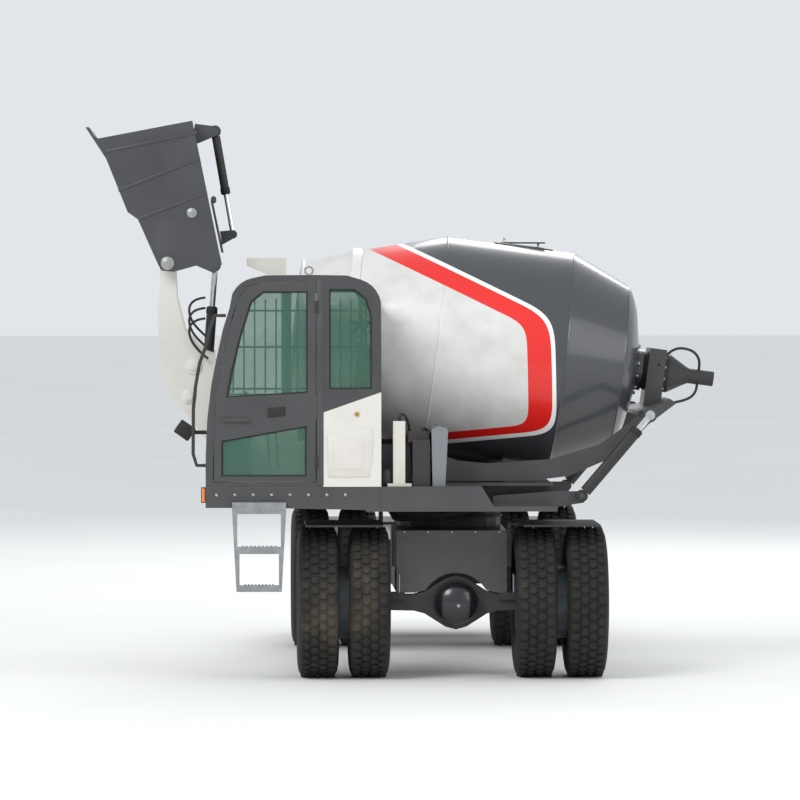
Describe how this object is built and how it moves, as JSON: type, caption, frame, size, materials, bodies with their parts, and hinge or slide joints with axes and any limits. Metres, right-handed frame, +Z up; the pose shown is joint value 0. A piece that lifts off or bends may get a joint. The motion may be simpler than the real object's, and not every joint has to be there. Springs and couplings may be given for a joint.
{
  "type": "self-loading concrete mixer truck",
  "caption": "Self-loading concrete mixer truck: articulated chassis on twin tyres, slewing deck with cab, tilting drum, loading arm and bucket.",
  "frame": {"origin": "on the ground below the middle of the outer box", "axes": "+X towards the deck's rear as it stands, -Y towards the chassis front, +Z up"},
  "size_m": [4.5844, 5.775, 3.9833],
  "materials": {
    "dark_grey_paint": "semi-gloss dark grey",
    "white_paint": "gloss white",
    "black_steel": "satin black",
    "seat_vinyl": "matt black vinyl",
    "cooler_aluminium": "brushed",
    "rim_grey_paint": "satin grey",
    "tyre_rubber": "matt",
    "chromed_rod": "polished"
  },
  "bodies": {
    "front_chassis": {"front_frame": "dark_grey_paint", "front_axle": "black_steel", "front_fender_left": "black_steel", "front_fender_right": "black_steel", "slewing_ring_lower": "black_steel"},
    "rear_chassis": {"rear_frame": "dark_grey_paint", "rear_axle": "black_steel", "rear_fender_left": "black_steel", "rear_fender_right": "black_steel", "engine_hood": "white_paint", "engine_block": "black_steel"},
    "deck": {"deck_frame": "dark_grey_paint", "slewing_ring_upper": "black_steel", "ladder": "dark_grey_paint", "cab_shell": "white_paint", "handrail": "black_steel", "operator_seat": "seat_vinyl", "control_console": "black_steel", "lubricator_post": "white_paint", "valve_block": "black_steel", "oil_cooler": "cooler_aluminium", "water_tank": "white_paint"},
    "cab_door": {"cab_door": "dark_grey_paint"},
    "loading_arm": {"loading_arm": "white_paint"},
    "bucket": {"bucket": "dark_grey_paint"},
    "bucket_gate": {"bucket_gate": "dark_grey_paint"},
    "drum_cradle": {"drum_cradle": "dark_grey_paint", "drum_drive": "black_steel", "inlet_hopper": "white_paint"},
    "drum": {"drum": "white_paint"},
    "front_left_wheel": {"front_left_rim": "rim_grey_paint", "front_left_tyre_inner": "tyre_rubber", "front_left_tyre_outer": "tyre_rubber"},
    "front_right_wheel": {"front_right_rim": "rim_grey_paint", "front_right_tyre_inner": "tyre_rubber", "front_right_tyre_outer": "tyre_rubber"},
    "rear_left_wheel": {"rear_left_rim": "rim_grey_paint", "rear_left_tyre_inner": "tyre_rubber", "rear_left_tyre_outer": "tyre_rubber"},
    "rear_right_wheel": {"rear_right_rim": "rim_grey_paint", "rear_right_tyre_inner": "tyre_rubber", "rear_right_tyre_outer": "tyre_rubber"},
    "arm_lift_barrel": {"arm_lift_barrel": "black_steel"},
    "arm_lift_rod": {"arm_lift_rod": "chromed_rod"},
    "drum_lift_left_barrel": {"drum_lift_left_barrel": "black_steel"},
    "drum_lift_left_rod": {"drum_lift_left_rod": "chromed_rod"},
    "drum_lift_right_barrel": {"drum_lift_right_barrel": "black_steel"},
    "drum_lift_right_rod": {"drum_lift_right_rod": "chromed_rod"},
    "bucket_tilt_barrel": {"bucket_tilt_barrel": "black_steel"},
    "bucket_tilt_rod": {"bucket_tilt_rod": "chromed_rod"},
    "gate_barrel": {"gate_barrel": "black_steel"},
    "gate_rod": {"gate_rod": "chromed_rod"}
  },
  "joints": [
    {"name": "frame_articulation", "type": "hinge", "parent": "front_chassis", "child": "rear_chassis", "pos_m": [0.32576, -0.6375, 0.79331], "axis": [0, 0, 1], "range_deg": [-35, 35]},
    {"name": "deck_slew", "type": "hinge", "parent": "front_chassis", "child": "deck", "pos_m": [0.32576, -1.5625, 1.11332], "axis": [0, 0, 1], "range_deg": [-30, 200]},
    {"name": "front_left_wheel_spin", "type": "hinge", "parent": "front_chassis", "child": "front_left_wheel", "pos_m": [0.32576, -2.3125, 0.53631], "axis": [1, 0, 0], "continuous": true},
    {"name": "front_right_wheel_spin", "type": "hinge", "parent": "front_chassis", "child": "front_right_wheel", "pos_m": [0.32576, -2.3125, 0.53631], "axis": [1, 0, 0], "continuous": true},
    {"name": "rear_left_wheel_spin", "type": "hinge", "parent": "rear_chassis", "child": "rear_left_wheel", "pos_m": [0.32576, 1.0375, 0.53631], "axis": [1, 0, 0], "continuous": true},
    {"name": "rear_right_wheel_spin", "type": "hinge", "parent": "rear_chassis", "child": "rear_right_wheel", "pos_m": [0.32576, 1.0375, 0.53631], "axis": [1, 0, 0], "continuous": true},
    {"name": "cab_door_hinge", "type": "hinge", "parent": "deck", "child": "cab_door", "pos_m": [-0.64624, -2.8185, 1.99331], "axis": [0, 0, 1], "range_deg": [0, 80]},
    {"name": "arm_lower", "type": "hinge", "parent": "deck", "child": "loading_arm", "pos_m": [-1.19424, -1.3625, 1.49331], "axis": [0, -1, 0], "range_deg": [0, 114]},
    {"name": "bucket_curl", "type": "hinge", "parent": "loading_arm", "child": "bucket", "pos_m": [-1.70524, -1.3625, 2.95932], "axis": [0, 1, 0], "range_deg": [-20, 36]},
    {"name": "gate_open", "type": "hinge", "parent": "bucket", "child": "bucket_gate", "pos_m": [-1.37424, -1.3625, 3.42332], "axis": [0, -1, 0], "range_deg": [0, 55]},
    {"name": "drum_tilt", "type": "hinge", "parent": "deck", "child": "drum_cradle", "pos_m": [-0.37424, -1.3625, 1.57332], "axis": [0, -1, 0], "range_deg": [0, 12]},
    {"name": "drum_spin", "type": "hinge", "parent": "drum_cradle", "child": "drum", "pos_m": [0.32576, -1.3625, 2.35631], "axis": [0.9923, 0, -0.1241], "continuous": true},
    {"name": "arm_lift_barrel_swing", "type": "hinge", "parent": "deck", "child": "arm_lift_barrel", "pos_m": [-0.29424, -1.3625, 1.45331], "axis": [0, -1, 0], "range_deg": [-0.01, 7.41]},
    {"name": "arm_lift_rod_travel", "type": "slide", "parent": "arm_lift_barrel", "child": "arm_lift_rod", "axis": [-0.9542, 0, 0.2993], "range_m": [-0.001, 0.491]},
    {"name": "drum_lift_left_barrel_swing", "type": "hinge", "parent": "deck", "child": "drum_lift_left_barrel", "pos_m": [1.26076, -2.3125, 1.29432], "axis": [0, -1, 0], "range_deg": [-0.01, 19.68]},
    {"name": "drum_lift_left_rod_travel", "type": "slide", "parent": "drum_lift_left_barrel", "child": "drum_lift_left_rod", "axis": [0.6467, 0, 0.7628], "range_m": [-0.001, 0.326]},
    {"name": "drum_lift_right_barrel_swing", "type": "hinge", "parent": "deck", "child": "drum_lift_right_barrel", "pos_m": [1.26076, -0.4125, 1.29432], "axis": [0, -1, 0], "range_deg": [-0.01, 19.68]},
    {"name": "drum_lift_right_rod_travel", "type": "slide", "parent": "drum_lift_right_barrel", "child": "drum_lift_right_rod", "axis": [0.6467, 0, 0.7628], "range_m": [-0.001, 0.326]},
    {"name": "bucket_tilt_barrel_swing", "type": "hinge", "parent": "loading_arm", "child": "bucket_tilt_barrel", "pos_m": [-1.41624, -1.8125, 2.24031], "axis": [0, -1, 0], "range_deg": [-2.09, 3.75]},
    {"name": "bucket_tilt_rod_travel", "type": "slide", "parent": "bucket_tilt_barrel", "child": "bucket_tilt_rod", "axis": [0.0753, 0, 0.9972], "range_m": [-0.208, 0.116]},
    {"name": "gate_barrel_swing", "type": "hinge", "parent": "bucket", "child": "gate_barrel", "pos_m": [-1.36424, -1.3625, 3.92332], "axis": [0, -1, 0], "range_deg": [-0.01, 17.84]},
    {"name": "gate_rod_travel", "type": "slide", "parent": "gate_barrel", "child": "gate_rod", "axis": [0.1701, 0, -0.9854], "range_m": [-0.167, 0.001]}
  ],
  "couplings": [
    {"joint": "arm_lift_barrel_swing", "follows": "arm_lower", "ratio": 0.06491},
    {"joint": "arm_lift_rod_travel", "follows": "arm_lower", "m_per_rad": 0.24621},
    {"joint": "drum_lift_left_barrel_swing", "follows": "drum_tilt", "ratio": 1.6386},
    {"joint": "drum_lift_left_rod_travel", "follows": "drum_tilt", "m_per_rad": 1.5514},
    {"joint": "drum_lift_right_barrel_swing", "follows": "drum_tilt", "ratio": 1.6386},
    {"joint": "drum_lift_right_rod_travel", "follows": "drum_tilt", "m_per_rad": 1.5514},
    {"joint": "bucket_tilt_barrel_swing", "follows": "bucket_curl", "ratio": 0.10366},
    {"joint": "bucket_tilt_rod_travel", "follows": "bucket_curl", "m_per_rad": -0.32914},
    {"joint": "gate_barrel_swing", "follows": "gate_open", "ratio": 0.3241},
    {"joint": "gate_rod_travel", "follows": "gate_open", "m_per_rad": -0.17239}
  ]
}
